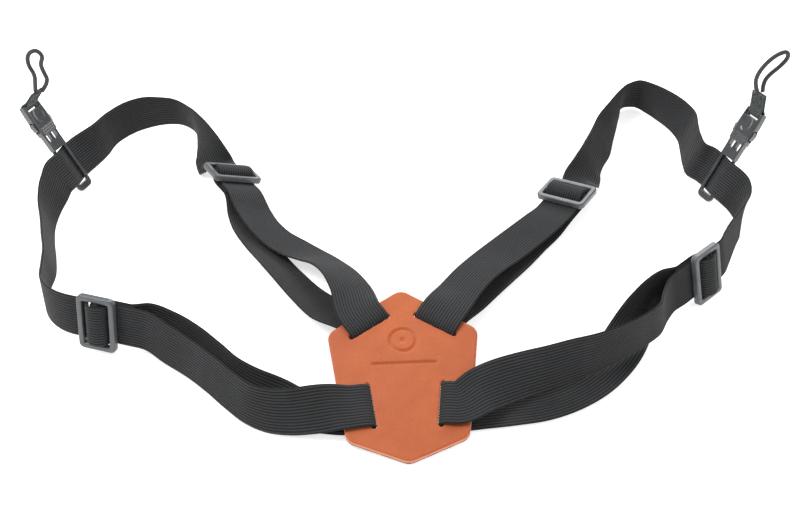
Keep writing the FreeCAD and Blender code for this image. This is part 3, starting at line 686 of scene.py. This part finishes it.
def socket_piece(side, finish):
    """The socket with waisted sides, grip ridges at its mouth and a shallow oval panel on each face."""
    made = even_copy(side + "_socket_body", side + "_clip_socket", 0.24, 3)
    clip = clip_axes(side)
    middle = (SOCKET_START + SOCKET_END) / 2
    half_length = (SOCKET_END - SOCKET_START) / 2
    for vertex in made.data.vertices:
        offset = vertex.co / MM - ORIGIN - clip.origin
        x, y, z = offset.dot(clip.along), offset.dot(clip.across), offset.dot(clip.out)
        along = (y - middle) / half_length
        x_shift, z_shift = 0.0, 0.0
        if abs(x) > SOCKET_WIDTH / 2 - 1.6:
            x_shift = -math.copysign(0.75 * along * along, x)
        if abs(z) > SOCKET_THICKNESS / 2 - 0.7:
            panel = dent(math.hypot(x / 4.6, (y - middle - 2.0) / 6.5), 1.0)
            ridges = sum(dent(y - SOCKET_START - place, 0.55) for place in (2.0, 3.6, 5.2))
            depth = 0.45 * min(1.0, 3.0 * panel) + 0.35 * min(1.0, ridges) + 0.5 * along ** 4
            z_shift = -math.copysign(min(0.7, depth), z)
        vertex.co += (clip.along * x_shift + clip.out * z_shift) * MM
    made.data.materials.append(finish)
    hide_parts(side + "_clip_socket")
    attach(made, side + "_release")
    return made


# ---------------------------------------------------------------- sewing

def stitch_mesh(mesh, start, end, out, thickness, length, gap):
    """Adds a row of thread stitches from start to end, standing out of the cloth."""
    run = end - start
    count = max(1, round(run.length / (length + gap)))
    along = run.normalized()
    side = along.cross(out).normalized()
    rings, around = 5, 6
    for index in range(count):
        middle = start + run * ((index + 0.5) / count)
        rows = []
        for ring in range(rings):
            t = -1 + 2 * ring / (rings - 1)
            radius = thickness / 2 * math.sqrt(max(0.06, 1 - t ** 4))
            centre = middle + along * (t * length / 2) + out * (thickness * 0.35 * (1 - t * t))
            row = []
            for step in range(around):
                angle = 2 * math.pi * step / around
                spoke = side * math.cos(angle) + out * math.sin(angle)
                row.append(mesh.verts.new(centre + spoke * radius))
            rows.append(row)
        for lower, upper in zip(rows, rows[1:]):
            for step in range(around):
                ahead = (step + 1) % around
                mesh.faces.new((lower[step], lower[ahead], upper[ahead], upper[step]))
        mesh.faces.new(rows[0][::-1])
        mesh.faces.new(rows[-1])


def stitches_piece(name, axes, lines, level, out_sign, finish, replaced, body):
    """Stitch rows drawn in a local frame's x and y at height level."""
    sewn = bmesh.new()
    for (x0, y0), (x1, y1) in lines:
        stitch_mesh(
            sewn, axes.point(x0, y0, level), axes.point(x1, y1, level), axes.out * out_sign,
            thickness=0.45, length=1.9, gap=0.45,
        )
    mesh = bpy.data.meshes.new(name)
    sewn.to_mesh(mesh)
    sewn.free()
    mesh.transform(Matrix.Scale(MM, 4) @ Matrix.Translation(ORIGIN))
    mesh.shade_smooth()
    mesh.materials.append(finish)
    made = new_object(name, mesh)
    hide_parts(replaced)
    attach(made, body)
    return made


def bartack_piece(name, finish):
    adjuster = ADJUSTERS[name]
    level = REAR_LAYER_DEPTH - STRAP_THICKNESS / 2 - 0.05
    lines = [((x, -9.5), (x, 9.5)) for x in (10.2, 10.9, 13.0, 13.7)]
    lines += [((10.2, y), (13.7, y)) for y in (-9.5, 9.5)]
    return stitches_piece(
        name + "_bartack_thread", adjuster, lines, level, -1, finish, name + "_bartack", name + "_adjuster_set",
    )


def tab_pieces(side, webbing, thread):
    """The tab as one folded strip round the end bar, and its box and cross of stitches."""
    axes = tab_axes(side)
    middle = TAB_LAYER / 2
    turn = END_BAR_RADIUS + 0.1 + TAB_LAYER / 2
    path = [
        (TAB_LENGTH, middle), (11.0, middle + 0.02), (6.0, middle + 0.06), (3.2, middle + 0.35), (1.3, turn * 0.86),
    ]
    wrap = [(turn * math.cos(a), turn * math.sin(a)) for a in (2.0, 2.7, math.pi, -2.7, -2.0)]
    whole = path + wrap + [(y, -z) for y, z in reversed(path)]
    stations = [(axes.point(0, y, z), axes.along) for y, z in whole]
    mesh, length = strap_mesh(side + "_tab_webbing", strap_rows(stations), TAB_WIDTH, TAB_LAYER - 0.05, 7, 0.1)
    made = new_object(side + "_tab_webbing", mesh)
    mesh.materials.append(webbing)
    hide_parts(side + "_tab")
    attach(made, side + "_tab")
    half, centre = BOX_STITCH_SIDE / 2, BOX_STITCH_MIDDLE
    low, high = centre - half, centre + half
    lines = [((-half, low), (half, low)), ((half, low), (half, high)), ((half, high), (-half, high))]
    lines += [((-half, high), (-half, low)), ((-half, low), (half, high)), ((half, low), (-half, high))]
    stitches_piece(side + "_tab_thread", axes, lines, TAB_LAYER, 1, thread, side + "_tab_stitching", side + "_tab")
    return made


# ---------------------------------------------------------------- lanyards

def lanyard_piece(side, finish):
    end = tab_axes(side).point(0, TAB_LENGTH + TAB_END_GAP, 0)
    points = [end + Vector((right, back, up)) for right, up, back in LANYARD_ROUTES[side]]
    data = bpy.data.curves.new(side + "_lanyard_loop", "CURVE")
    data.dimensions = "3D"
    data.bevel_depth = LANYARD_DIAMETER / 2 * MM
    data.bevel_resolution = 5
    data.resolution_u = 10
    data.use_fill_caps = True
    spline = data.splines.new("NURBS")
    spline.points.add(len(points) - 1)
    for place, point in zip(spline.points, points):
        place.co = (*placed(point), 1)
    spline.order_u = 3
    spline.use_endpoint_u = True
    data.materials.append(finish)
    made = bpy.data.objects.new(side + "_lanyard_loop", data)
    bpy.context.scene.collection.objects.link(made)
    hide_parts(side + "_lanyard")
    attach(made, side + "_tab")
    return made


# ---------------------------------------------------------------- stage

def studio():
    """The camera, broad soft lights and a white world."""
    camera = bpy.data.cameras.new("camera")
    camera.lens = 41.85
    camera.sensor_width = 36.0
    camera.clip_start = 0.01
    viewer = bpy.data.objects.new("camera", camera)
    viewer.location = placed(Vector((0.0, -453.0, 400.0)))
    viewer.rotation_euler = (math.radians(45.0), 0.0, 0.0)
    bpy.context.scene.collection.objects.link(viewer)
    bpy.context.scene.camera = viewer
    for name, place, size, power in (
        ("key", (-0.7, 0.1, 1.1), 0.7, 13.0),
        ("fill", (0.9, -0.4, 0.9), 1.0, 4.0),
        ("back", (0.2, 1.2, 0.8), 1.0, 12.0),
    ):
        light = bpy.data.lights.new(name, "AREA")
        light.size = size
        light.energy = power
        lamp = bpy.data.objects.new(name, light)
        lamp.location = place
        lamp.rotation_euler = (Vector((0, 0, 0)) - Vector(place)).to_track_quat("-Z", "Y").to_euler()
        bpy.context.scene.collection.objects.link(lamp)
    world = bpy.data.worlds.new("studio")
    world.use_nodes = True
    world.node_tree.nodes["Background"].inputs["Color"].default_value = (1, 1, 1, 1)
    world.node_tree.nodes["Background"].inputs["Strength"].default_value = 0.42
    bpy.context.scene.world = world
    bpy.context.scene.view_settings.view_transform = "Standard"


def floor_piece():
    half = 6.0
    mesh = bpy.data.meshes.new("floor")
    corners = [(-half, -half, 0), (half, -half, 0), (half, half, 0), (-half, half, 0)]
    mesh.from_pydata(corners, [], [(0, 1, 2, 3)])
    finish, _, shader = material("floor", (0.93, 0.93, 0.93), 0.9, specular=0.1)
    shader.inputs["Emission Color"].default_value = (1, 1, 1, 1)
    shader.inputs["Emission Strength"].default_value = 0.62
    mesh.materials.append(finish)
    made = new_object("floor", mesh)
    made.location.z = -0.0002


# ---------------------------------------------------------------- the harness

def dress(cad_node, finish):
    """Gives a CAD node its finish."""
    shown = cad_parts[cad_node]
    shown.data.materials.clear()
    shown.data.materials.append(finish)


def build():
    studio()
    elastic = elastic_material()
    leather = leather_material("leather", (0.40, 0.080, 0.020), (0.53, 0.125, 0.034), 1.0)
    backing = leather_material("backing", (0.10, 0.055, 0.04), (0.20, 0.11, 0.08), 2.0)
    adjuster_plastic = plastic_material("adjuster_plastic", (0.07, 0.076, 0.082), (0.10, 0.108, 0.115), 0.36, 0.15)
    clip_plastic = plastic_material("clip_plastic", (0.035, 0.038, 0.042), (0.06, 0.064, 0.07), 0.22, 0.6)
    webbing = woven_material("webbing", (0.02, 0.026, 0.026), (0.07, 0.085, 0.082), 0.5)
    cord = woven_material("cord", (0.018, 0.018, 0.02), (0.075, 0.075, 0.08), 0.6)
    thread = woven_material("thread", (0.015, 0.015, 0.017), (0.045, 0.045, 0.05), 1.4)
    for side in SIDE:
        lanyard_piece(side, cord)
    floor_piece()
    leather_piece("yoke_face", "yoke_leather", leather, 0.55, True, 3)
    leather_piece("yoke_lining", "yoke_backing", backing, 0.5, False, 1)
    for name in ADJUSTERS:
        anchor_piece(name, elastic)
        bartack_piece(name, thread)
        dress(name + "_adjuster", adjuster_plastic)
    for side in SIDE:
        loop_pieces(side, elastic)
        tab_pieces(side, webbing, thread)
        socket_piece(side, clip_plastic)
        for part in ("clip_slider", "prong_front", "prong_back"):
            dress(side + "_" + part, clip_plastic)


build()
